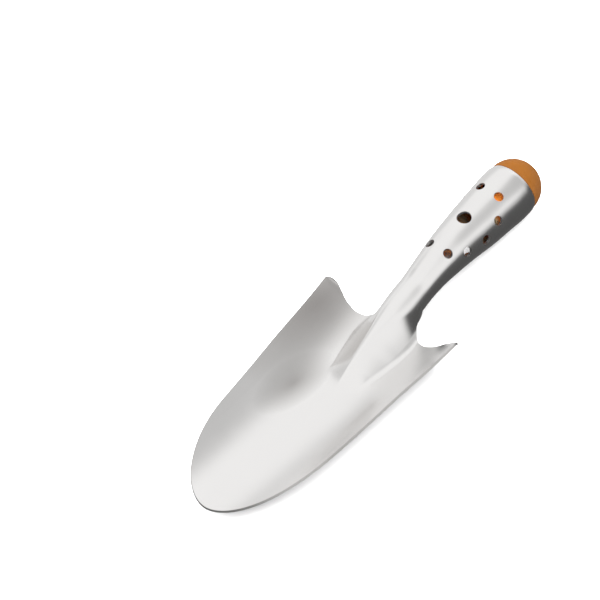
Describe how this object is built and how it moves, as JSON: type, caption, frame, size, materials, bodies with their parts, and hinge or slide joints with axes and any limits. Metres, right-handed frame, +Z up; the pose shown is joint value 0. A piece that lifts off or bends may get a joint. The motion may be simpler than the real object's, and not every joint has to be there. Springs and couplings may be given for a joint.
{
  "type": "hand transplanter",
  "caption": "Narrow steel garden trowel pressed in one piece with a crested neck and a perforated tube handle closed by a domed plastic end cap.",
  "frame": {"origin": "middle of the footprint, on the surface that the tool lies on with the blade's hollow facing up", "axes": "+X along the tool from the blade's tip towards the end cap, +Z up, +Y across the blade"},
  "size_m": [0.291, 0.0946, 0.0334],
  "materials": {
    "stainless_steel": "satin, bead-blasted blade with a smoother polished handle",
    "seam_weld": "ground weld bead",
    "orange_cap": "matt moulded plastic"
  },
  "bodies": {
    "root": {"blade_and_handle": "stainless_steel", "seam_weld_rim": "seam_weld", "seam_weld_neck": "seam_weld", "end_cap": "orange_cap"}
  },
  "joints": []
}
